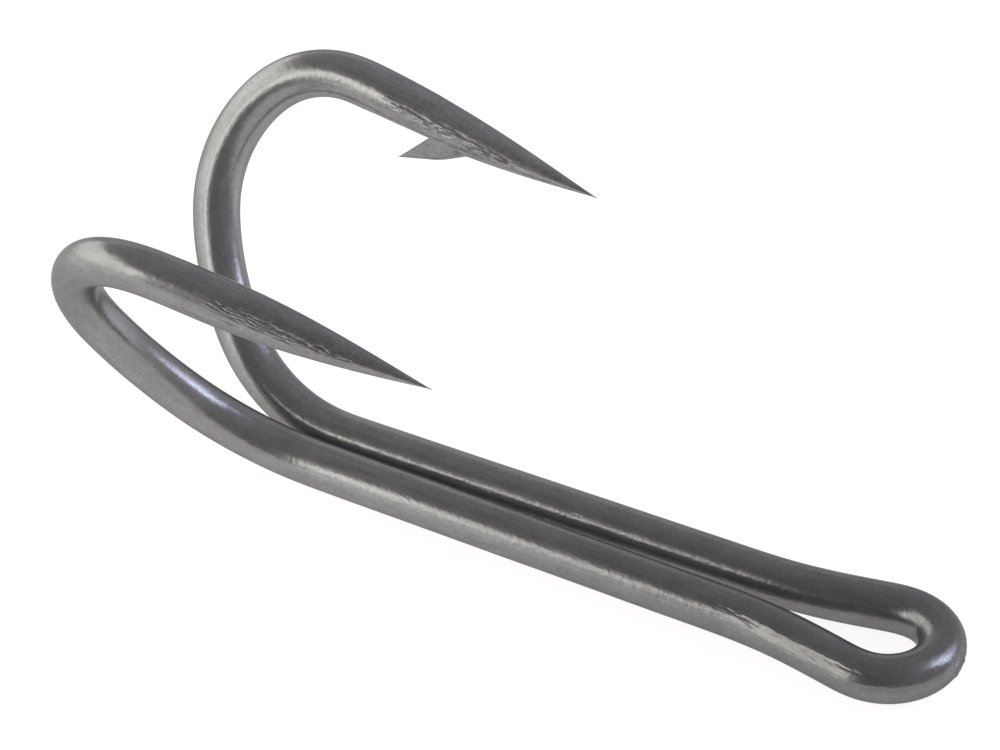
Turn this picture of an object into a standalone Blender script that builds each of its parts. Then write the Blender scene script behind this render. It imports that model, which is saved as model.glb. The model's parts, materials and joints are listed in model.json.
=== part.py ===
"""Double fishing hook for big game, at full size, made from one round stainless wire.

The wire is folded at its middle into an eye. Its two legs run side by side as the shank,
splay into two planes and bend round into two hooks. Each ends in a ground point, with a
barb cut up on the side that faces the shank.

The real hook is one piece. Here it is divided at its natural zones, each a solid of its
own: eye, two shanks, two bends, two points and two barbs.

Frame: metres. The hook lies on its shank with both points up. +X runs from the eye to the
bends, +Y is the left hook's side, +Z is up. The origin is under the centre of the whole
hook's box, on the surface it lies on.
"""

from math import cos, inf, pi, radians, sin, tan

import bmesh
import bpy
import numpy as np
from mathutils import Matrix, Vector

MM = 0.001
NAME = "double_hook"

# Driving dimensions
WIRE_DIAMETER = 4.5 * MM
JOINT_GAP = 0.3 * MM  # between neighbouring solids
SHANK_GAP = 0.3 * MM  # between the two legs, where they splay
SHANK_REACH = 62.2 * MM  # from the eye's outermost centreline point to the splay

EYE_RADIUS = 5.08 * MM  # centreline radius of the fold
EYE_TAPER = radians(12.4)  # each leg's inward slant behind the fold
EYE_FLANK = 4.2 * MM  # straight length at that slant
SHANK_TAPER = radians(0.74)  # the legs close up by this much on their way to the splay

SPLAY = radians(28.5)  # lean of each hook's plane away from the upright
BEND_ARCS = (  # radius, turn in degrees, from the shank to the point
    (25.2 * MM, 5.0),
    (16.7 * MM, 45.8),
    (30.2 * MM, 21.5),
    (14.1 * MM, 55.3),
    (9.8 * MM, 59.4),
    (69.6 * MM, 2.7),
)
POINT_LENGTHS = {"left": 24.7 * MM, "right": 23.2 * MM}  # ground by hand, so not quite equal
POINT_FLARE = 2.3  # degrees by which a point curls back outwards
GRIND_LENGTH = 22.5 * MM  # from the tip to where the grinding leaves the full wire
TIP_RADIUS = 0.06 * MM

# Barb outline: distance back from the tip along the point's axis, and depth from that axis
BARB_HEEL = (13.9 * MM, 2.3 * MM)
BARB_BELLY = (15.8 * MM, 3.34 * MM)
BARB_TIP = (19.9 * MM, 4.8 * MM)
BARB_NOTCH = (18.1 * MM, 2.55 * MM)

# Smoothness
BLEND = 3.2 * MM  # length over which one curvature runs into the next
PATH_STEP = 0.25 * MM
RING_STEP = 1.5 * MM  # between the rings of a curved tube
BEVEL_RESOLUTION = 6  # gives a tube of 16 sides
TUBE_SIDES = 4 + 2 * BEVEL_RESOLUTION
BLEND_SAMPLES = 21
CUTTER_SIDES = 32

SIDES = {"left": 1, "right": -1}
WIRE_RADIUS = WIRE_DIAMETER / 2
FACET_DROP = WIRE_RADIUS * cos(pi / TUBE_SIDES)  # from the axis to the middle of a facet

# Materials: colour, roughness
DRAWN_WIRE = ("drawn_wire", (0.30, 0.30, 0.29, 1), 0.32)
GROUND_POINT = ("ground_point", (0.34, 0.335, 0.325, 1), 0.38)


def plane_path(pieces, heading):
    """Points of a path in a plane that starts at (0, 0).

    pieces holds (length, turn) in order, in metres and radians. The turning of each piece
    is spread evenly over it, then averaged over BLEND, so the curvature has no jumps.
    """
    ends = np.cumsum([0] + [length for length, _ in pieces])
    headings = heading + np.cumsum([0] + [turn for _, turn in pieces])
    steps = int(round(ends[-1] / PATH_STEP))
    middles = (np.arange(steps) + 0.5) * ends[-1] / steps
    offsets = np.linspace(-BLEND / 2, BLEND / 2, BLEND_SAMPLES)
    smooth = np.mean([np.interp(middles + offset, ends, headings) for offset in offsets], axis=0)
    moves = np.stack([np.cos(smooth), np.sin(smooth)], axis=1) * ends[-1] / steps
    return np.concatenate([[[0, 0]], np.cumsum(moves, axis=0)])


def arc(radius, degrees):
    """One piece of a plane path: an arc, given by its radius and its signed turn."""
    return radius * abs(radians(degrees)), radians(degrees)


def neck_radius():
    """Radius of the arc that brings a leg from the eye's taper to the shank's, so that the
    legs end SHANK_GAP apart where they splay."""
    flank_x = EYE_RADIUS * (1 + sin(EYE_TAPER)) + EYE_FLANK * cos(EYE_TAPER)
    flank_y = EYE_RADIUS * cos(EYE_TAPER) - EYE_FLANK * sin(EYE_TAPER)
    drop = flank_y - (WIRE_DIAMETER + SHANK_GAP) / 2
    drop -= (SHANK_REACH - flank_x) * tan(SHANK_TAPER)
    fall = cos(SHANK_TAPER) - cos(EYE_TAPER)
    run = sin(EYE_TAPER) - sin(SHANK_TAPER)
    return drop / (fall - run * tan(SHANK_TAPER))


def folded_wire():
    """Centreline of both shanks and the eye, in the XY plane, from the right leg's splay
    round the eye to the left leg's, with the eye's outermost point at x = 0.

    Returns the points and the length of one shank, up to where its neck begins."""
    neck = neck_radius()
    neck_arc = (neck * (EYE_TAPER - SHANK_TAPER), EYE_TAPER - SHANK_TAPER)
    neck_x = EYE_RADIUS * (1 + sin(EYE_TAPER)) + EYE_FLANK * cos(EYE_TAPER)
    neck_x += neck * (sin(EYE_TAPER) - sin(SHANK_TAPER))
    shank = (SHANK_REACH - neck_x) / cos(SHANK_TAPER)
    fold = pi + 2 * EYE_TAPER
    pieces = [
        (shank, 0),
        neck_arc,
        (EYE_FLANK, 0),
        (EYE_RADIUS * fold, -fold),
        (EYE_FLANK, 0),
        neck_arc,
        (shank, 0),
    ]
    path = plane_path(pieces, pi + SHANK_TAPER)
    middle = (path[:, 1].min() + path[:, 1].max()) / 2
    path -= (path[:, 0].min(), middle)
    return np.column_stack([path, np.zeros(len(path))]), shank


def hook_path(side, splay_point):
    """Centreline of one hook, from the splay to the tip, and the length of its point."""
    sign = SIDES[side]
    lead = BLEND / 2  # straight, so that the first arc blends in
    point = POINT_LENGTHS[side]
    pieces = [(lead, 0)] + [arc(*piece) for piece in BEND_ARCS] + [(point, -radians(POINT_FLARE))]
    flat = plane_path(pieces, 0)
    along = np.array([cos(SHANK_TAPER), -sign * sin(SHANK_TAPER), 0])
    across = np.array([sin(SHANK_TAPER), sign * cos(SHANK_TAPER), 0])
    outward = cos(SPLAY) * np.array([0, 0, 1]) + sin(SPLAY) * across
    start = splay_point - lead * along
    return start + flat[:, :1] * along + flat[:, 1:] * outward, point


def lengths_along(path):
    return np.concatenate([[0], np.cumsum(np.linalg.norm(np.diff(path, axis=0), axis=1))])


def stretch(path, start, end, step):
    """Points along a path between two distances from its start, about step apart."""
    distances = lengths_along(path)
    count = max(2, int(np.ceil((end - start) / step)) + 1)
    wanted = np.linspace(start, end, count)
    return np.column_stack([np.interp(wanted, distances, path[:, axis]) for axis in range(3)])


def point_radius(distance):
    """Radius of a ground point at a distance back from its tip."""
    ogive = WIRE_RADIUS * sin(pi / 2 * min(distance / GRIND_LENGTH, 1))
    return max(ogive, TIP_RADIUS)


def material(name, colour, roughness):
    made = bpy.data.materials.new(name)
    made.use_nodes = True
    shader = made.node_tree.nodes["Principled BSDF"]
    shader.inputs["Base Color"].default_value = colour
    shader.inputs["Metallic"].default_value = 1
    shader.inputs["Roughness"].default_value = roughness
    made.diffuse_color = colour
    return made


def tube(name, points, finish, collection, parent, radii=None, twist="MINIMUM"):
    """A closed round tube through the points, as a curve with filled caps."""
    curve = bpy.data.curves.new(name, "CURVE")
    curve.dimensions = "3D"
    curve.bevel_depth = WIRE_RADIUS
    curve.bevel_resolution = BEVEL_RESOLUTION
    curve.use_fill_caps = True
    curve.twist_mode = twist
    spline = curve.splines.new("POLY")
    spline.points.add(len(points) - 1)
    for index, position in enumerate(points):
        spline.points[index].co = (*position, 1)
        spline.points[index].tilt = pi / TUBE_SIDES  # turns a facet, not an edge, downwards
        if radii is not None:
            spline.points[index].radius = radii[index] / WIRE_RADIUS
    curve.materials.append(material(f"{name}_{finish[0]}", *finish[1:]))
    made = bpy.data.objects.new(name, curve)
    collection.objects.link(made)
    made.parent = parent
    return made


def wedge_mesh(outline, half_width):
    """Mesh of a flat outline, given as (x, y) points, thickened both ways along Z."""
    curve = bpy.data.curves.new("barb_outline", "CURVE")
    curve.dimensions = "2D"
    curve.fill_mode = "BOTH"
    curve.extrude = half_width
    spline = curve.splines.new("POLY")
    spline.points.add(len(outline) - 1)
    for index, (x, y) in enumerate(outline):
        spline.points[index].co = (x, y, 0, 1)
    spline.use_cyclic_u = True
    guide = bpy.data.objects.new("barb_outline", curve)
    bpy.context.scene.collection.objects.link(guide)
    bpy.context.view_layer.update()
    mesh = bpy.data.meshes.new_from_object(guide.evaluated_get(bpy.context.evaluated_depsgraph_get()))
    bpy.data.objects.remove(guide)
    bpy.data.curves.remove(curve)
    solid = bmesh.new()
    solid.from_mesh(mesh)
    bmesh.ops.remove_doubles(solid, verts=solid.verts, dist=0.01 * MM)
    bmesh.ops.recalc_face_normals(solid, faces=solid.faces)
    solid.to_mesh(mesh)
    solid.free()
    return mesh


def barb(side, tip, back, inward, parts, cutters, parent):
    """A barb: the outline's wedge, rounded below to the wire's own curve.

    back runs from the tip along the point's axis, inward from that axis to the shank."""
    name = f"barb_{side}"
    placed = Matrix.Identity(4)
    for column, axis in enumerate((back, inward, back.cross(inward))):
        placed.col[column][:3] = axis
    placed.translation = tip

    mesh = wedge_mesh((BARB_HEEL, BARB_BELLY, BARB_TIP, BARB_NOTCH), WIRE_RADIUS)
    mesh.materials.clear()
    mesh.materials.append(material(f"{name}_{GROUND_POINT[0]}", *GROUND_POINT[1:]))
    made = bpy.data.objects.new(name, mesh)
    parts.objects.link(made)
    made.parent = parent
    made.matrix_world = placed

    belly = Vector((*BARB_BELLY, 0))
    edge = (Vector((*BARB_TIP, 0)) - belly).normalized()
    up = Vector((edge.y, -edge.x, 0))
    middle = belly + WIRE_RADIUS * up
    bpy.ops.mesh.primitive_cylinder_add(vertices=CUTTER_SIDES, radius=WIRE_RADIUS, depth=4 * WIRE_DIAMETER)
    round_wire = bpy.context.object
    round_wire.name = f"{name}_round"
    for owner in list(round_wire.users_collection):
        owner.objects.unlink(round_wire)
    cutters.objects.link(round_wire)
    round_wire.hide_render = True
    round_wire.display_type = "WIRE"
    round_wire.parent = parent
    turned = edge.to_track_quat("Z", "Y").to_matrix().to_4x4()
    round_wire.matrix_world = placed @ Matrix.Translation(middle) @ turned

    rounded = made.modifiers.new("rounded", "BOOLEAN")
    rounded.operation = "INTERSECT"
    rounded.solver = "EXACT"
    rounded.object = round_wire


def build():
    for old in list(bpy.data.objects):
        bpy.data.objects.remove(old)
    parts = bpy.data.collections.new(NAME)
    cutters = bpy.data.collections.new(f"{NAME}_cutters")
    bpy.context.scene.collection.children.link(parts)
    bpy.context.scene.collection.children.link(cutters)

    fold, shank = folded_wire()
    splay_points = {"left": fold[-1], "right": fold[0]}
    hooks = {side: hook_path(side, splay_points[side]) for side in SIDES}
    furthest = max(path[:, 0].max() for path, _ in hooks.values())
    shift = np.array([-furthest / 2, 0, FACET_DROP])

    root = bpy.data.objects.new(f"{NAME}_frame", None)
    parts.objects.link(root)
    half_gap = JOINT_GAP / 2
    total = lengths_along(fold)[-1]
    lead = BLEND / 2

    eye = stretch(fold, shank + half_gap, total - shank - half_gap, RING_STEP)
    tube("eye", eye + shift, DRAWN_WIRE, parts, root, twist="Z_UP")

    for side, (path, point) in hooks.items():
        if side == "left":
            leg = stretch(fold, total - shank + half_gap, total - lead - half_gap, inf)
        else:
            leg = stretch(fold, lead + half_gap, shank - half_gap, inf)
        tube(f"shank_{side}", leg + shift, DRAWN_WIRE, parts, root, twist="Z_UP")

        length = lengths_along(path)[-1]
        bend = stretch(path, half_gap, length - point - half_gap, RING_STEP)
        tube(f"bend_{side}", bend + shift, DRAWN_WIRE, parts, root)

        spear = stretch(path, length - point + half_gap, length, RING_STEP)
        radii = [point_radius(reach) for reach in lengths_along(spear)[-1] - lengths_along(spear)]
        tube(f"point_{side}", spear + shift, GROUND_POINT, parts, root, radii)

        tip = Vector(spear[-1] + shift)
        back = Vector(spear[0] - spear[-1]).normalized()
        plane = Vector((0, -SIDES[side] * cos(SPLAY), sin(SPLAY)))
        inward = back.cross(plane).normalized()
        if inward.z > 0:
            inward.negate()
        barb(side, tip, back, inward, parts, cutters, root)


build()
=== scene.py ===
"""Looks of a double fishing hook: one drawn stainless wire with an eye and two ground, barbed points.

The real hook is one wire, so its skin is made here as one fine surface, from the right tip round
the eye to the left tip, and cut where the CAD nodes meet into pieces that share their end rings.

A place on the wire is a distance along it from the right tip, and an angle round it: 0 faces up
on the shanks, 90 degrees faces outwards on both legs and round the eye. A place on a point is its
reach back from the tip, with an angle round it from the side that faces the shank. On a barb it is
the reach, and the depth from the point's axis towards the shank.
"""

import json
from math import cos, pi, radians, sin, tan

import bpy
import numpy as np
from mathutils import Euler, Matrix, Vector

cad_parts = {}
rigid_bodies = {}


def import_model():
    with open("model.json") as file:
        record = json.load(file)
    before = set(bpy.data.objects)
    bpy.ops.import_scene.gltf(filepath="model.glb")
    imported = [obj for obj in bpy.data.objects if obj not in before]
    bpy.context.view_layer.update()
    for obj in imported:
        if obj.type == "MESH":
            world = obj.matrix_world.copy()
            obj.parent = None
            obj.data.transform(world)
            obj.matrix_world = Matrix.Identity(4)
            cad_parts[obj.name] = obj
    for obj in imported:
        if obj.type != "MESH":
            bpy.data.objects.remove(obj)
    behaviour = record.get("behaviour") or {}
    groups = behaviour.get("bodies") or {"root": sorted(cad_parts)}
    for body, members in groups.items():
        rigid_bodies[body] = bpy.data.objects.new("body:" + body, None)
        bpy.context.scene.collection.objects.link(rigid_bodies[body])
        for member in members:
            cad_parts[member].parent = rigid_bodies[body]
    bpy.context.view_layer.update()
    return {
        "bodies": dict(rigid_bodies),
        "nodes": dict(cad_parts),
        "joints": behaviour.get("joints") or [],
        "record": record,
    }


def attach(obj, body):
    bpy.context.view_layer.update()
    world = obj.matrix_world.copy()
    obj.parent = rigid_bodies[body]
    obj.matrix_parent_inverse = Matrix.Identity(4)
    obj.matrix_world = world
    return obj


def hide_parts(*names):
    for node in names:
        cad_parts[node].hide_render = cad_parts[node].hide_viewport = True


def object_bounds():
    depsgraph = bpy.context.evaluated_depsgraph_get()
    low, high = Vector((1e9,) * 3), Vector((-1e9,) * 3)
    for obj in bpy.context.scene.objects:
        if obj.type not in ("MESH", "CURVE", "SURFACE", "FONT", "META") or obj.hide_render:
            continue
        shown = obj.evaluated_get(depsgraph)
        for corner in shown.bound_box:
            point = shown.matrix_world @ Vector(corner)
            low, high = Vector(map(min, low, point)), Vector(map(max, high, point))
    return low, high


MM = 0.001

# The wire's route, as the CAD model has it
WIRE_DIAMETER = 4.5 * MM
WIRE_RADIUS = WIRE_DIAMETER / 2
SHANK_GAP = 0.3 * MM
SHANK_REACH = 62.2 * MM
EYE_RADIUS = 5.08 * MM
EYE_TAPER = radians(12.4)
EYE_FLANK = 4.2 * MM
SHANK_TAPER = radians(0.74)
SPLAY = radians(28.5)
BEND_ARCS = (  # radius, turn in degrees, from the shank to the point
    (25.2 * MM, 5.0),
    (16.7 * MM, 45.8),
    (30.2 * MM, 21.5),
    (14.1 * MM, 55.3),
    (9.8 * MM, 59.4),
    (69.6 * MM, 2.7),
)
POINT_LENGTHS = {"left": 24.7 * MM, "right": 23.2 * MM}
POINT_FLARE = 2.3  # degrees, the other way from the bend's turn
GRIND_LENGTH = 22.5 * MM
TIP_RADIUS = 0.045 * MM  # round the very tip
BLEND = 3.2 * MM  # length over which one arc passes into the next
BLEND_SAMPLES = 21
CAD_SIDES = 16
FACET_DROP = WIRE_RADIUS * cos(pi / CAD_SIDES)
SIDES = {"left": 1, "right": -1}

# Fineness of the skin
PATH_STEP = 0.05 * MM
RING_STEPS = {"point": 0.085 * MM, "bend": 0.25 * MM, "shank": 0.25 * MM, "eye": 0.2 * MM}
SKIN_SIDES = 280
SKIN_SEED = 7
WAVES = ((0.010, 5.0, 5), (0.005, 1.5, 16))  # height and length of a wave in mm, how many round the wire
ZONES = ("point_right", "bend_right", "shank_right", "eye", "shank_left", "bend_left", "point_left")

# Barb: reach back from the tip and depth from the point's axis, in mm
BARB_HEEL = (12.7, 1.42)
BARB_BELLY = (15.84, 3.38)
BARB_TIP = (19.97, 4.88)
NOTCH_ROOT = (17.35, 1.82)
CUT_START = (25.5, 2.25)  # where the chisel entered the wire's underside
CUT_END = 15.5  # reach, inside the barb
CUT_TILT = radians(-13)  # of the cut's flat, outwards from the hook's plane
CUT_EDGE = 0.2  # cosine of the angle at which the cut's flat is left off
BARB_RINGS = 110
FLANK_POINTS = 56
BARB_ROUNDING = (0.8, 15)  # half the length over which the keel is rounded in mm, samples in it
BARB_INSET = 0.03  # how far a barb starts inside the point's skin
BARB_TOP = 0.5  # least depth of its upper edge
BARB_THIN = 0.01  # least depth between its edges, and how far its last ring is from its tip
BARB_FADE = 0.5  # half width below which its relief fades out
BARB_CREASE = radians(38)
KEEL_RADII = ((12.7, 1.3), (13.5, 1.1), (15.8, 0.62), (17.8, 0.34), (19.97, 0.05))  # reach, radius

# Marks, in mm and degrees
TEAR_SEED = 3
TORN_TRAILS = {  # reach, angle: where the barb's cutting tore the flank
    "right": ((8, -78), (12, -88), (16, -91), (21.5, -94)),
    "left": ((7, 136), (9, 143), (12, 148), (15, 157), (18, 157), (21.5, 150)),
}
TORN_SPREAD = {"right": 40, "left": 26}
TORN_FADE = ((8, 12, 19, 21.5), (0.2, 1, 1, 0.5))  # reach, share of the spread
FINE_SCATTER = (0.6, 0.1)  # how far fine tears lie from the trail, and past it, as shares
FINE_LEAD = 1  # from the trail's start
DEEP_LEADS = (3, 1)  # from the trail's start and end
DEEP_SCATTER = 4
FAINT_REACH = (9, 21)
FAINT_SCATTER = 14
NECK_RIDGE = ((149.6, 41), (153, 43.5), (157, 48), (160, 45), (165, 36))  # along the wire, angle
RIDGE_SCATTER = 1.2
BRUSHED_ANGLES = (4, 60)  # beside the ridge
NECK_FLAT = (12, 4.0)  # half the pressed flat's width, and the length of its tapered ends
EYE_BURR = ((141.7, 0.55), (96, 14))  # along the wire and angle, each with its spread
BURR_TRAIL = ((140.8, 70), (141.8, 74), (142.9, 76))
BURR_FLAT = (15, 0.7)
LOOSE_PLACES = (80, 205)
STREAKS = {  # how many, then ranges of length, width and height, and how much they slant
    "fine_tear": (110, (0.4, 1.5), (0.045, 0.1), (0.013, 0.042), 0.06),
    "deep_tear": (22, (0.6, 1.5), (0.08, 0.15), (0.03, 0.065), 0.06),
    "faint_tear": (24, (0.5, 1.5), (0.06, 0.12), (0.008, 0.025), 0.1),
    "ridge": (34, (0.4, 0.9), (0.08, 0.13), (0.008, 0.024), 0.16),
    "brushed": (70, (0.6, 2.2), (0.045, 0.09), (0.004, 0.014), 0.05),
    "burr": (44, (0.2, 0.55), (0.08, 0.17), (0.02, 0.07), 0.6),
    "loose": (70, (0.3, 1.6), (0.06, 0.12), (0.002, 0.008), 0.2),
}
STREAK_REACH = 1.2  # how far from its middle a streak can be felt round the wire
STREAK_WAVE = (0.05, 2.2)  # height and pace of its bends
STREAK_LIP = (0.8, 1.6)  # depth of the lip beside it as a share, and its place in widths

# Painted shade and painted light on the steel along the wire, in mm and as a share
PAINTED_SHADE_MIDDLE = 148
EYE_PAINTED_SHADE = (12, 66, 0.74)  # painted shade at the eye: it passes off between these distances from the middle, and darkens the colour to this share
RIGHT_PAINTED_LIGHT = (8, 50, 1.18)  # painted light towards the right tip: the same, from the right tip, and lightens the colour to this share

# Steel: colours from dark to light, roughness, heights in mm of grain, dimples and drawing lines
DRAWN_WIRE = ((0.269, 0.2655, 0.2555), (0.379, 0.3745, 0.3605), 0.25, 0.006, 0.022, 0.0035)
GROUND_POINT = ((0.238, 0.235, 0.2265), (0.387, 0.3815, 0.3665), 0.24, 0.005, 0.014, 0.026)
METAL_SHARE = 0.73
EDGE_TINT = (0.4, 0.4, 0.405, 1)
ROUGHNESS_SPREAD = 0.03
SHADE_WEIGHTS = {"scratches": 0.8, "patches": 0.8, "fine": 0.9}
SHADE_RANGE = (0.95, 1.55)
PATCH_RANGE = (0.3, 0.7)
NOISES = {  # stretch across the wire (twice) and along it; scale per mm; detail; roughness
    "fine": ((0.6, 0.6, 1), 4.2, 2, 0.6),
    "scratches": ((5.5, 5.5, 0.22), 1, 3, 0.6),
    "patches": ((1, 1, 0.5), 0.55, 4, 0.6),
    "dimples": ((1, 1, 0.8), 2.1, 1, 0.5),
}

# Camera: its place in m, and where the picture's right and down point
CAMERA_PLACE = (-0.20625, 0.37266, 0.33226)
CAMERA_RIGHT = Vector((-0.87028, -0.49256, 0.00221))
CAMERA_DOWN = Vector((-0.29338, 0.51476, -0.80557))
CAMERA_LENS = 210.16  # mm
CAMERA_SENSOR = 36  # mm

# Lights: angles in degrees with the azimuth from +X to +Y, sizes in m
WHITE = (1, 1, 1)
KEY = {
    "azimuth": 20,
    "width": 8.2,
    "radiance": 1.76,
    "colour": (1, 0.986, 0.978),
    "shift": -0.95,
    "roll": 4,
}
KEY_REACH = 3.0  # m
KEY_TOP = radians(36)  # above the horizon
KEY_BELOW = 0.3  # m below the table
BLUISH = (0.9, 0.935, 1.28)
LAMPS = {  # azimuth, elevation, distance, width, height in m, radiance, colour, roll
    "right_reflector": (64, 19, 3.2, 0.7, 1.05, 0.75, WHITE, 0),
    "right_halo": (67, 16, 3.3, 1.3, 1.4, 0.5, WHITE, 0),
    "left_reflector": (-54, 11, 3.4, 1.9, 2.1, 0.33, WHITE, 0),
    "blue_light": (-147, 31, 1.2, 0.35, 0.66, 2.3, BLUISH, 30),
    "blue_halo": (-142, 32, 1.4, 0.8, 1.1, 0.95, BLUISH, 30),
}
ROOM_BRIGHT_SIDE = radians(-115)
ROOM_RANGE = (-0.9, 0.95)  # cosine of the angle from the bright side: darkest, brightest
ROOM_COLOURS = ((0.108, 0.106, 0.102), (0.425, 0.43, 0.462))

# Table
TABLE_RADIUS = 8.0  # m
TABLE_CORNERS = 64
TABLE_COLOUR = (0.42, 0.42, 0.415, 1)
TABLE_ROUGHNESS = 0.32
TABLE_GLOSS = 0.3
TABLE_GLOW_COLOUR = (1, 0.984, 0.984, 1)
TABLE_GLOW_MIDDLE = (0.08, 0.03, 0)
TABLE_GLOW = (0.09, 0.36, 0.68, 0.2)  # distance from and to in m, strength from and to
TABLE_SEEN_GLOW = 0.88  # least strength, as the camera sees it


# ---------------------------------------------------------------- route of the wire


def plane_path(pieces, heading):
    """Points of a path in a plane that starts at (0, 0). pieces holds (length, turn)."""
    ends = np.cumsum([0] + [length for length, _ in pieces])
    headings = heading + np.cumsum([0] + [turn for _, turn in pieces])
    steps = int(round(ends[-1] / PATH_STEP))
    middles = (np.arange(steps) + 0.5) * ends[-1] / steps
    offsets = np.linspace(-BLEND / 2, BLEND / 2, BLEND_SAMPLES)
    smooth = np.mean([np.interp(middles + offset, ends, headings) for offset in offsets], axis=0)
    moves = np.stack([np.cos(smooth), np.sin(smooth)], axis=1) * ends[-1] / steps
    return np.concatenate([[[0, 0]], np.cumsum(moves, axis=0)])


def arc(radius, degrees):
    return radius * abs(radians(degrees)), radians(degrees)


def neck_radius():
    """Radius of the arc that brings a leg from the eye's taper to the shank's."""
    flank_x = EYE_RADIUS * (1 + sin(EYE_TAPER)) + EYE_FLANK * cos(EYE_TAPER)
    flank_y = EYE_RADIUS * cos(EYE_TAPER) - EYE_FLANK * sin(EYE_TAPER)
    drop = flank_y - (WIRE_DIAMETER + SHANK_GAP) / 2
    drop -= (SHANK_REACH - flank_x) * tan(SHANK_TAPER)
    fall = cos(SHANK_TAPER) - cos(EYE_TAPER)
    run = sin(EYE_TAPER) - sin(SHANK_TAPER)
    return drop / (fall - run * tan(SHANK_TAPER))


def folded_wire():
    """Centreline of both shanks and the eye, and the length of one shank."""
    neck = neck_radius()
    neck_arc = (neck * (EYE_TAPER - SHANK_TAPER), EYE_TAPER - SHANK_TAPER)
    neck_x = EYE_RADIUS * (1 + sin(EYE_TAPER)) + EYE_FLANK * cos(EYE_TAPER)
    neck_x += neck * (sin(EYE_TAPER) - sin(SHANK_TAPER))
    shank = (SHANK_REACH - neck_x) / cos(SHANK_TAPER)
    fold = pi + 2 * EYE_TAPER
    pieces = [
        (shank, 0),
        neck_arc,
        (EYE_FLANK, 0),
        (EYE_RADIUS * fold, -fold),
        (EYE_FLANK, 0),
        neck_arc,
        (shank, 0),
    ]
    path = plane_path(pieces, pi + SHANK_TAPER)
    middle = (path[:, 1].min() + path[:, 1].max()) / 2
    path -= (path[:, 0].min(), middle)
    return np.column_stack([path, np.zeros(len(path))]), shank


def hook_path(side, splay_point):
    """Centreline of one hook, from the splay to the tip."""
    sign = SIDES[side]
    lead = BLEND / 2
    pieces = [(lead, 0)] + [arc(*piece) for piece in BEND_ARCS]
    pieces.append((POINT_LENGTHS[side], -radians(POINT_FLARE)))
    flat = plane_path(pieces, 0)
    along = np.array([cos(SHANK_TAPER), -sign * sin(SHANK_TAPER), 0])
    across = np.array([sin(SHANK_TAPER), sign * cos(SHANK_TAPER), 0])
    outward = cos(SPLAY) * np.array([0, 0, 1]) + sin(SPLAY) * across
    start = splay_point - lead * along
    return start + flat[:, :1] * along + flat[:, 1:] * outward


def lengths_along(path):
    return np.concatenate([[0], np.cumsum(np.linalg.norm(np.diff(path, axis=0), axis=1))])


def whole_wire():
    """Centreline from the right tip to the left, and the distances at which its zones end."""
    fold, shank = folded_wire()
    left = hook_path("left", fold[-1])
    right = hook_path("right", fold[0])
    lead = BLEND / 2
    distances = lengths_along(fold)
    total = distances[-1]
    inner = fold[(distances > lead + PATH_STEP / 2) & (distances < total - lead - PATH_STEP / 2)]
    path = np.concatenate([right[::-1], inner, left])
    path += (-max(left[:, 0].max(), right[:, 0].max()) / 2, 0, FACET_DROP)
    lengths = [
        POINT_LENGTHS["right"],
        lengths_along(right)[-1] - POINT_LENGTHS["right"],
        shank - lead,
        total - 2 * shank,
        shank - lead,
        lengths_along(left)[-1] - POINT_LENGTHS["left"],
    ]
    ends = np.concatenate([[0], np.cumsum(lengths), [lengths_along(path)[-1]]])
    return path, ends


def unit(vectors):
    return vectors / np.linalg.norm(vectors, axis=-1, keepdims=True)


def wire_frames(path, places):
    """Centre of the wire and its up and outward directions, at each place along it.

    Up is carried from the eye's middle both ways without twist."""
    distances = lengths_along(path)
    centres = np.column_stack([np.interp(places, distances, path[:, axis]) for axis in range(3)])
    slopes = unit(np.gradient(path, distances, axis=0))
    forward = np.column_stack([np.interp(places, distances, slopes[:, axis]) for axis in range(3)])
    forward = unit(forward)
    up = np.zeros_like(forward)
    middle = int(np.argmin(centres[:, 0]))
    for order in (range(middle, len(places)), range(middle, -1, -1)):
        carried = np.array([0.0, 0.0, 1.0])
        for index in order:
            carried = unit(carried - carried.dot(forward[index]) * forward[index])
            up[index] = carried
    return centres, up, np.cross(up, forward)


# ---------------------------------------------------------------- relief of the skin


def spline_weights(share):
    return (
        (1 - share) ** 3 / 6,
        (3 * share**3 - 6 * share**2 + 4) / 6,
        (-3 * share**3 + 3 * share**2 + 3 * share + 1) / 6,
        share**3 / 6,
    )


def soft_noise(rng, places, angles, cell, lobes):
    """Smooth noise on the wire, about -1 to 1: cell long, and lobes of it round the wire."""
    rows = int(places.max() / cell) + 5
    grid = rng.uniform(-1, 1, (rows, lobes))
    along = places / cell
    around = (angles % (2 * pi)) / (2 * pi) * lobes
    row, column = np.floor(along).astype(int), np.floor(around).astype(int)
    total = 0
    for i, row_weight in enumerate(spline_weights(along - row)):
        for j, column_weight in enumerate(spline_weights(around - column)):
            picked = grid[(row + i)[:, None], ((column + j) % lobes)[None, :]]
            total = total + picked * row_weight[:, None] * column_weight[None, :]
    return total * 2


def point_radius(reach):
    """Radius of a ground point at a distance back from its tip."""
    ogive = WIRE_RADIUS * np.sin(pi / 2 * np.minimum(reach / GRIND_LENGTH, 1))
    return np.maximum(ogive, TIP_RADIUS)


def streaks(rng, kind, places, angles):
    """Ridges (or grooves, where the height is below 0) drawn out along the wire, one for each place."""
    count, lengths, widths, heights, slant = STREAKS[kind]
    return {
        "place": np.asarray(places, dtype=float),
        "angle": np.radians(angles),
        "length": rng.uniform(*lengths, count),
        "width": rng.uniform(*widths, count),
        "height": rng.uniform(*heights, count) * rng.choice((-1, 1), count),
        "slant": rng.normal(0, slant, count),
        "phase": rng.uniform(0, 2 * pi, count),
    }


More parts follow.
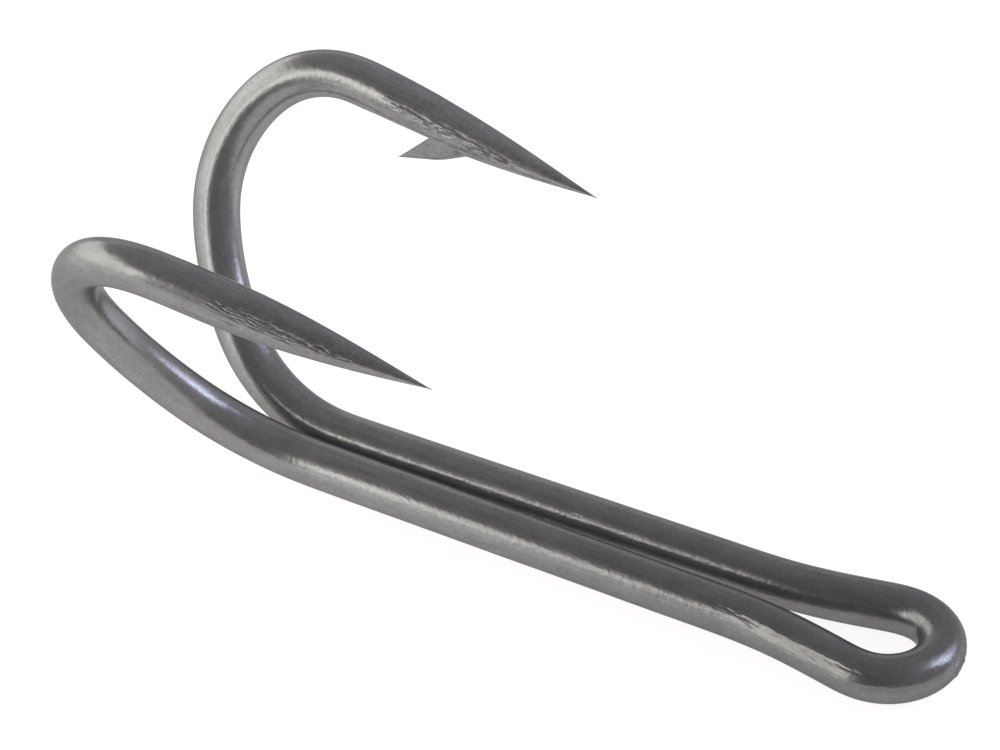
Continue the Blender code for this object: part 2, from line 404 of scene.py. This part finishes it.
def streak_height(places, angles, radius, marks):
    """Height of a set of streaks at places on the skin, in mm. Each streak has a lip beside it."""
    wave, pace = STREAK_WAVE
    lip_depth, lip_place = STREAK_LIP
    height = np.zeros_like(angles)
    for index in range(len(marks["place"])):
        mark = {key: values[index] for key, values in marks.items()}
        run = (places - mark["place"]) / mark["length"]
        turn = (angles - mark["angle"] + pi) % (2 * pi) - pi
        near = (np.abs(run) < 1) & (np.abs(turn) * radius < STREAK_REACH)
        if not near.any():
            continue
        past = run[near] * mark["length"]
        middle = mark["slant"] * past + wave * np.sin(pace * past + mark["phase"])
        off = (turn[near] * radius[near] - middle) / mark["width"]
        profile = np.exp(-(off**2)) - lip_depth * np.exp(-((off - lip_place) ** 2))
        height[near] += mark["height"] * np.cos(pi / 2 * run[near]) * profile
    return height


def torn_marks(rng, side):
    """The torn flank of a point that shows most, and a fainter one opposite."""
    reach, trail = np.transpose(TORN_TRAILS[side])
    inward = -np.sign(trail[0])
    count = STREAKS["fine_tear"][0]
    places = rng.uniform(reach[0] + FINE_LEAD, reach[-1], count)
    scatter, past = FINE_SCATTER
    spread = TORN_SPREAD[side] * (np.abs(rng.normal(0, scatter, count)) - past)
    spread *= np.interp(places, *TORN_FADE)
    angles = np.interp(places, reach, trail) + inward * spread
    fine = streaks(rng, "fine_tear", places, angles)
    count = STREAKS["deep_tear"][0]
    places = rng.uniform(reach[0] + DEEP_LEADS[0], reach[-1] - DEEP_LEADS[1], count)
    angles = np.interp(places, reach, trail) + rng.normal(0, DEEP_SCATTER, count)
    deep = streaks(rng, "deep_tear", places, angles)
    count = STREAKS["faint_tear"][0]
    places = rng.uniform(*FAINT_REACH, count)
    angles = 90 * inward + rng.normal(0, FAINT_SCATTER, count)
    faint = streaks(rng, "faint_tear", places, angles)
    return {key: np.concatenate([fine[key], deep[key], faint[key]]) for key in fine}


def wire_marks(rng):
    """Ridge, scratches and burr on the eye and its left neck, and scratches on the shanks."""
    place, angle = np.transpose(NECK_RIDGE)
    count = STREAKS["ridge"][0]
    crest = np.linspace(place[0], place[-1], count)
    angles = np.interp(crest, place, angle) + rng.normal(0, RIDGE_SCATTER, count)
    ridge = streaks(rng, "ridge", crest, angles)
    ridge["height"] = np.abs(ridge["height"])
    count = STREAKS["brushed"][0]
    below = rng.uniform(place[0], place[-1], count)
    angles = np.interp(below, place, angle) + rng.uniform(*BRUSHED_ANGLES, count)
    brushed = streaks(rng, "brushed", below, angles)
    count = STREAKS["burr"][0]
    places, angles = (middle + rng.normal(0, spread, count) for middle, spread in EYE_BURR)
    burr = streaks(rng, "burr", places, angles)
    count = STREAKS["loose"][0]
    places = rng.uniform(*LOOSE_PLACES, count)
    loose = streaks(rng, "loose", places, rng.uniform(-180, 180, count))
    return [ridge, brushed, burr, loose]


def pressed(places, angles, trail, half, taper):
    """Share of the radius that is left where a tool pressed a flat beside a trail on the wire.

    half is half the flat's width in degrees. It narrows over taper, in mm, at the trail's ends."""
    place, angle = np.transpose(trail)
    ends = np.minimum(places - place[0], place[-1] - places) / taper
    width = radians(half) * np.clip(ends, 0, 1)
    middle = np.radians(np.interp(places, place, angle)) + width
    off = (angles[None, :] - middle[:, None] + pi) % (2 * pi) - pi
    return np.minimum(1, np.cos(width)[:, None] / np.cos(np.clip(off, -pi / 3, pi / 3)))


def wire_radii(places, angles, ends, torn):
    """Distance from the centreline to the skin, at each place and angle."""
    rng = np.random.default_rng(SKIN_SEED)
    radii = np.full((len(places), len(angles)), WIRE_RADIUS)
    for height, length, lobes in WAVES:
        radii += height * MM * soft_noise(rng, places, angles, length * MM, lobes)
    radii *= pressed(places / MM, angles, NECK_RIDGE, *NECK_FLAT)
    radii *= pressed(places / MM, angles, BURR_TRAIL, *BURR_FLAT)
    along = np.repeat((places / MM)[:, None], len(angles), axis=1)
    around = np.repeat(angles[None, :], len(places), axis=0)
    for marks in wire_marks(rng):
        radii += streak_height(along, around, radii / MM, marks) * MM
    for side, reach in (("right", places), ("left", ends[-1] - places)):
        rows = reach < CUT_START[0] * MM
        radii[rows] *= (point_radius(reach[rows]) / WIRE_RADIUS)[:, None]
        back = np.repeat((reach[rows] / MM)[:, None], len(angles), axis=1)
        from_inside = around[rows] - SPLAY
        radii[rows] += streak_height(back, from_inside, radii[rows] / MM, torn[side]) * MM
        facing = np.cos(from_inside - CUT_TILT)
        slope = (CUT_START[1] - NOTCH_ROOT[1]) / (CUT_START[0] - NOTCH_ROOT[0])
        cut_depth = CUT_START[1] - slope * (CUT_START[0] - back)
        flat = cut_depth / np.maximum(facing, CUT_EDGE) * MM
        cut = (facing > CUT_EDGE) & (back > CUT_END)
        radii[rows] = np.where(cut, np.minimum(radii[rows], flat), radii[rows])
    return radii


# ---------------------------------------------------------------- pieces


def tube_faces(rings, sides):
    """Faces of a closed tube: quads between its rings, and one flat face at each end."""
    corner = np.arange(rings * sides).reshape(rings, sides)
    ahead = np.roll(corner, -1, axis=1)
    quads = np.stack([corner[:-1], corner[1:], ahead[1:], ahead[:-1]], axis=-1).reshape(-1, 4)
    return quads.tolist() + [corner[0].tolist(), corner[-1][::-1].tolist()]


def skin_mesh(name, points, normals, coordinates):
    """A closed piece of the wire's skin from its rings of points, with flat ends."""
    rings, sides = points.shape[:2]
    mesh = bpy.data.meshes.new(name)
    mesh.from_pydata(points.reshape(-1, 3).tolist(), [], tube_faces(rings, sides))
    mesh.shade_smooth()
    loops = np.empty(len(mesh.loops), dtype=np.int32)
    mesh.loops.foreach_get("vertex_index", loops)
    split = normals.reshape(-1, 3)[loops]
    mesh.update()
    for offset, face in ((2 * sides, -2), (sides, -1)):
        split[len(loops) - offset : len(loops) - offset + sides] = mesh.polygons[face].normal
    mesh.normals_split_custom_set(split.tolist())
    add_coordinates(mesh, coordinates.reshape(-1, 3))
    return mesh


def add_coordinates(mesh, coordinates):
    """Stores where each point was on the straight wire, in mm, for the materials."""
    stored = mesh.attributes.new("wire", "FLOAT_VECTOR", "POINT")
    stored.data.foreach_set("vector", np.asarray(coordinates, dtype=np.float32).ravel())


def make_skin(torn):
    """The seven pieces of the wire, and each point's tip with its back, inward and sideways."""
    path, ends = whole_wire()
    places, splits = [], [0]
    for name, start, end in zip(ZONES, ends[:-1], ends[1:]):
        count = int(np.ceil((end - start) / RING_STEPS[name.split("_")[0]]))
        places.extend(np.linspace(start, end, count + 1)[:-1])
        splits.append(len(places))
    places = np.array(places + [ends[-1]])
    angles = np.arange(SKIN_SIDES) * 2 * pi / SKIN_SIDES
    centres, up, outward = wire_frames(path, places)
    radii = wire_radii(places, angles, ends, torn)
    cosines, sines = np.cos(angles)[None, :], np.sin(angles)[None, :]
    rays = up[:, None] * cosines[..., None] + outward[:, None] * sines[..., None]
    points = centres[:, None] + radii[..., None] * rays
    along = np.gradient(points, axis=0)
    around = np.roll(points, -1, axis=1) - np.roll(points, 1, axis=1)
    normals = unit(np.cross(around, along))
    normals *= np.sign((normals * rays).sum(axis=-1, keepdims=True))
    along_wire = np.repeat(places[:, None], SKIN_SIDES, axis=1)
    straight = np.stack([radii * cosines, radii * sines, along_wire], axis=-1)
    pieces = {}
    for name, first, last in zip(ZONES, splits[:-1], splits[1:]):
        rows = slice(first, last + 1)
        mesh = skin_mesh(f"{name}_skin", points[rows], normals[rows], straight[rows] / MM)
        pieces[name] = bpy.data.objects.new(f"{name}_skin", mesh)
    frames = {}
    for side, tip, base in (("right", 0, splits[1]), ("left", -1, splits[-2])):
        back = unit(centres[base] - centres[tip])
        inward = cos(SPLAY) * up[tip] + sin(SPLAY) * outward[tip]
        inward = unit(inward - inward.dot(back) * back)
        sideways = cos(SPLAY) * outward[tip] - sin(SPLAY) * up[tip]
        sideways = unit(sideways - sideways.dot(back) * back - sideways.dot(inward) * inward)
        frames[side] = (centres[tip], back, inward, sideways)
    return pieces, frames


def barb_outline(reach):
    """Depths of a barb's upper and lower edge, and its keel's radius, at a reach back from the tip."""
    spread = min(BARB_ROUNDING[0], BARB_TIP[0] - reach)
    samples = reach + np.linspace(-spread, spread, BARB_ROUNDING[1])
    keel = np.interp(samples, *zip(BARB_HEEL, BARB_BELLY, BARB_TIP)).mean()
    lean = (BARB_TIP[1] - NOTCH_ROOT[1]) / (BARB_TIP[0] - NOTCH_ROOT[0])
    upper = max(BARB_TOP, NOTCH_ROOT[1] + lean * (reach - NOTCH_ROOT[0]))
    return min(upper, keel - BARB_THIN), keel, np.interp(reach, *zip(*KEEL_RADII))


def barb_widths(depth, wire, keel, nose):
    """Half width of a barb at each depth: the wire's round, straight flanks, then a round keel."""
    wire -= BARB_INSET
    lean = np.arccos(np.clip((wire - nose) / (keel - nose), -1, 1))
    round_part = np.sqrt(np.maximum(wire**2 - depth**2, 0))
    flank = (wire - depth * np.cos(lean)) / max(np.sin(lean), 0.05)
    keel_part = np.sqrt(np.maximum(nose**2 - (depth - keel + nose) ** 2, 0))
    width = np.where(depth < wire * np.cos(lean), round_part, flank)
    return np.where(depth > keel - nose + nose * np.cos(lean), keel_part, width)


def barb_mesh(name, frame, torn):
    """A barb: a wedge whose flanks run on from the point's, its keel round, its back cut flat."""
    tip, back, inward, sideways = frame
    share = np.sin(pi / 2 * np.linspace(0, 1, FLANK_POINTS))
    rows = []
    for reach in np.linspace(BARB_HEEL[0], BARB_TIP[0] - BARB_THIN, BARB_RINGS):
        upper, keel, nose = barb_outline(reach)
        depth = upper + (keel - upper) * share
        wire = float(point_radius(reach * MM)) / MM
        rows.append((np.full_like(depth, reach), depth, barb_widths(depth, wire, keel, nose)))
    reach, depth, width = np.array(rows).transpose(1, 0, 2)
    flanks = []
    for flank in (1, -1):
        angle, radius = np.arctan2(flank * width, depth), np.hypot(width, depth)
        height = streak_height(reach, angle, radius, torn) * np.clip(width / BARB_FADE, 0, 1)
        flanks.append(np.stack([reach, depth, flank * (width + height)], axis=-1))
    section = np.concatenate([flanks[0], flanks[1][:, -2::-1]], axis=1)
    local = section.reshape(-1, 3) * MM
    points = tip + local[:, :1] * back + local[:, 1:2] * inward + local[:, 2:] * sideways
    rings, sides = section.shape[:2]
    mesh = bpy.data.meshes.new(name)
    mesh.from_pydata(points.tolist(), [], tube_faces(rings, sides))
    straight = section.reshape(-1, 3)[:, [1, 2, 0]]
    add_coordinates(mesh, straight)
    mesh.update()
    mesh.shade_smooth()
    mesh.set_sharp_from_angle(angle=BARB_CREASE)
    return mesh


# ---------------------------------------------------------------- materials


def add_node(tree, kind, **inputs):
    """A node, with values or links for its inputs, by name."""
    node = tree.nodes.new(kind)
    for name, value in inputs.items():
        socket = node.inputs[name.replace("_", " ")]
        if isinstance(value, bpy.types.NodeSocket):
            tree.links.new(value, socket)
        else:
            socket.default_value = value
    return node


def steel_noise(tree, place, kind):
    """One of the steel's noises, on the straight wire in mm."""
    stretch, scale, detail, roughness = NOISES[kind]
    scaled = add_node(tree, "ShaderNodeVectorMath")
    scaled.operation = "MULTIPLY"
    tree.links.new(place, scaled.inputs[0])
    scaled.inputs[1].default_value = stretch
    noise = add_node(tree, "ShaderNodeTexNoise", Scale=scale, Detail=detail, Roughness=roughness)
    tree.links.new(scaled.outputs[0], noise.inputs["Vector"])
    return noise.outputs["Fac"]


def remap(tree, value, low, high, new_low, new_high):
    node = add_node(tree, "ShaderNodeMapRange")
    for socket, number in zip(node.inputs[1:5], (low, high, new_low, new_high)):
        socket.default_value = number
    tree.links.new(value, node.inputs[0])
    return node.outputs[0]


def smooth_remap(tree, value, low, high, new_low, new_high):
    result = remap(tree, value, low, high, new_low, new_high)
    result.node.interpolation_type = "SMOOTHSTEP"
    return result


def mix_math(tree, operation, first, second):
    node = add_node(tree, "ShaderNodeMath")
    node.operation = operation
    for socket, value in zip(node.inputs, (first, second)):
        if isinstance(value, bpy.types.NodeSocket):
            tree.links.new(value, socket)
        else:
            socket.default_value = value
    return node.outputs[0]


def weighted_sum(tree, values, weights):
    parts = [mix_math(tree, "MULTIPLY", values[name], weight) for name, weight in weights.items()]
    total = parts[0]
    for part in parts[1:]:
        total = mix_math(tree, "ADD", total, part)
    return total


def mix_colours(tree, share, first, second):
    node = add_node(tree, "ShaderNodeMix")
    node.data_type = "RGBA"
    tree.links.new(share, node.inputs[0])
    for socket, value in ((node.inputs[6], first), (node.inputs[7], second)):
        if isinstance(value, bpy.types.NodeSocket):
            tree.links.new(value, socket)
        else:
            socket.default_value = (*value, 1)
    return node.outputs[2]


def painted_light_and_shade_along(tree, place, colour):
    """The steel's colour with painted shade, slowly darker towards the eye, and painted light, lighter
    towards the right tip.
    """
    split = add_node(tree, "ShaderNodeSeparateXYZ", Vector=place)
    along = split.outputs["Z"]
    away = mix_math(tree, "ABSOLUTE", mix_math(tree, "SUBTRACT", along, PAINTED_SHADE_MIDDLE), 0)
    eye_painted_shade = smooth_remap(tree, away, *EYE_PAINTED_SHADE, 1)
    painted_shading = mix_math(tree, "MULTIPLY", eye_painted_shade, smooth_remap(tree, along, *RIGHT_PAINTED_LIGHT, 1))
    scaled = add_node(tree, "ShaderNodeVectorMath")
    scaled.operation = "SCALE"
    tree.links.new(colour, scaled.inputs[0])
    tree.links.new(painted_shading, scaled.inputs["Scale"])
    return scaled.outputs[0]


def steel(name, dark, light, roughness, grain, dapple, lines):
    """Satin stainless steel. grain, dapple and lines are heights of its fine relief."""
    made = bpy.data.materials.new(name)
    made.use_nodes = True
    tree = made.node_tree
    shader = tree.nodes["Principled BSDF"]
    place = add_node(tree, "ShaderNodeAttribute")
    place.attribute_name = "wire"
    place = place.outputs["Vector"]

    noises = {kind: steel_noise(tree, place, kind) for kind in NOISES}
    shade = weighted_sum(tree, noises, SHADE_WEIGHTS)
    colour = mix_colours(tree, remap(tree, shade, *SHADE_RANGE, 0, 1), dark, light)
    # the base colour carries painted shade towards the eye and painted light towards the right tip
    tree.links.new(painted_light_and_shade_along(tree, place, colour), shader.inputs["Base Color"])

    smoothest, roughest = roughness - ROUGHNESS_SPREAD, roughness + ROUGHNESS_SPREAD
    rough = remap(tree, noises["patches"], *PATCH_RANGE, smoothest, roughest)
    tree.links.new(rough, shader.inputs["Roughness"])
    shader.inputs["Metallic"].default_value = METAL_SHARE
    shader.inputs["Specular Tint"].default_value = EDGE_TINT

    relief = weighted_sum(tree, noises, {"fine": grain, "dimples": dapple, "scratches": lines})
    bump = add_node(tree, "ShaderNodeBump", Strength=1, Distance=MM, Height=relief)
    tree.links.new(bump.outputs[0], shader.inputs["Normal"])
    return made


# ---------------------------------------------------------------- stage


def place_camera():
    camera = bpy.data.objects.new("camera", bpy.data.cameras.new("camera"))
    bpy.context.scene.collection.objects.link(camera)
    camera.data.lens = CAMERA_LENS
    camera.data.sensor_width = CAMERA_SENSOR
    camera.location = CAMERA_PLACE
    up = -CAMERA_DOWN
    turned = Matrix((CAMERA_RIGHT, up, CAMERA_RIGHT.cross(up))).transposed()
    camera.rotation_euler = turned.to_euler()
    bpy.context.scene.camera = camera


def soft_light(name, azimuth, elevation, distance, width, height, radiance, colour, roll, shift=0):
    """A rectangular lamp that faces the origin, or is shifted sideways from where it would."""
    lamp = bpy.data.lights.new(name, "AREA")
    lamp.shape = "RECTANGLE"
    lamp.size, lamp.size_y = width, height
    lamp.energy = pi * width * height * radiance
    lamp.color = colour
    made = bpy.data.objects.new(name, lamp)
    bpy.context.scene.collection.objects.link(made)
    turn, rise = radians(azimuth), radians(elevation)
    out = Vector((cos(rise) * cos(turn), cos(rise) * sin(turn), sin(rise)))
    made.rotation_mode = "QUATERNION"
    made.rotation_quaternion = out.to_track_quat("Z", "Y") @ Euler((0, 0, radians(roll))).to_quaternion()
    sideways = Vector((-sin(turn), cos(turn), 0))
    made.location = out * distance + sideways * shift
    made.visible_camera = False
    return made


def light_scene():
    """A long low key light, weaker ones where it ends, a bluish one, and a room darker on one side."""
    height = KEY_REACH * tan(KEY_TOP) + KEY_BELOW
    key = soft_light("key_light", elevation=0, distance=KEY_REACH, height=height, **KEY)
    key.location.z = height / 2 - KEY_BELOW
    for name, lamp in LAMPS.items():
        soft_light(name, *lamp)

    world = bpy.data.worlds.new("studio")
    bpy.context.scene.world = world
    world.use_nodes = True
    tree = world.node_tree
    direction = add_node(tree, "ShaderNodeTexCoord").outputs["Generated"]
    share = add_node(tree, "ShaderNodeVectorMath")
    share.operation = "DOT_PRODUCT"
    tree.links.new(direction, share.inputs[0])
    share.inputs[1].default_value = (cos(ROOM_BRIGHT_SIDE), sin(ROOM_BRIGHT_SIDE), 0)
    room = mix_colours(tree, remap(tree, share.outputs["Value"], *ROOM_RANGE, 0, 1), *ROOM_COLOURS)
    path = add_node(tree, "ShaderNodeLightPath")
    seen = mix_colours(tree, path.outputs["Is Camera Ray"], room, WHITE)
    tree.links.new(seen, tree.nodes["Background"].inputs["Color"])


def make_floor(height):
    """A pale, faintly glowing table under the hook."""
    mesh = bpy.data.meshes.new("floor")
    turns = [2 * pi * corner / TABLE_CORNERS for corner in range(TABLE_CORNERS)]
    ring = [(TABLE_RADIUS * cos(turn), TABLE_RADIUS * sin(turn), 0) for turn in turns]
    mesh.from_pydata(ring, [], [list(range(TABLE_CORNERS))])
    floor = bpy.data.objects.new("floor", mesh)
    bpy.context.scene.collection.objects.link(floor)
    floor.location.z = height
    made = bpy.data.materials.new("pale_table")
    made.use_nodes = True
    shader = made.node_tree.nodes["Principled BSDF"]
    shader.inputs["Base Color"].default_value = TABLE_COLOUR
    shader.inputs["Roughness"].default_value = TABLE_ROUGHNESS
    shader.inputs["Specular IOR Level"].default_value = TABLE_GLOSS
    shader.inputs["Emission Color"].default_value = TABLE_GLOW_COLOUR
    tree = made.node_tree
    place = add_node(tree, "ShaderNodeTexCoord").outputs["Object"]
    away = add_node(tree, "ShaderNodeVectorMath")
    away.operation = "DISTANCE"
    tree.links.new(place, away.inputs[0])
    away.inputs[1].default_value = TABLE_GLOW_MIDDLE
    glow = smooth_remap(tree, away.outputs["Value"], *TABLE_GLOW)
    seen = add_node(tree, "ShaderNodeLightPath").outputs["Is Camera Ray"]
    glow = mix_math(tree, "MAXIMUM", glow, mix_math(tree, "MULTIPLY", seen, TABLE_SEEN_GLOW))
    tree.links.new(glow, shader.inputs["Emission Strength"])
    mesh.materials.append(made)


# ---------------------------------------------------------------- scene

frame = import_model()

place_camera()
light_scene()
bpy.context.scene.view_settings.view_transform = "Standard"

drawn_wire = steel("drawn_wire", *DRAWN_WIRE)
ground_point = steel("ground_point", *GROUND_POINT)

dice = np.random.default_rng(TEAR_SEED)
torn = {side: torn_marks(dice, side) for side in SIDES}
pieces, point_frames = make_skin(torn)
for side in SIDES:
    name = f"barb_{side}"
    mesh = barb_mesh(f"{name}_skin", point_frames[side], torn[side])
    pieces[name] = bpy.data.objects.new(f"{name}_skin", mesh)

for node, piece in pieces.items():
    bpy.context.scene.collection.objects.link(piece)
    ground = node.startswith(("point", "barb"))
    piece.data.materials.append(ground_point if ground else drawn_wire)
    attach(piece, "root")
    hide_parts(node)

visual_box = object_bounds()
make_floor(visual_box[0].z)
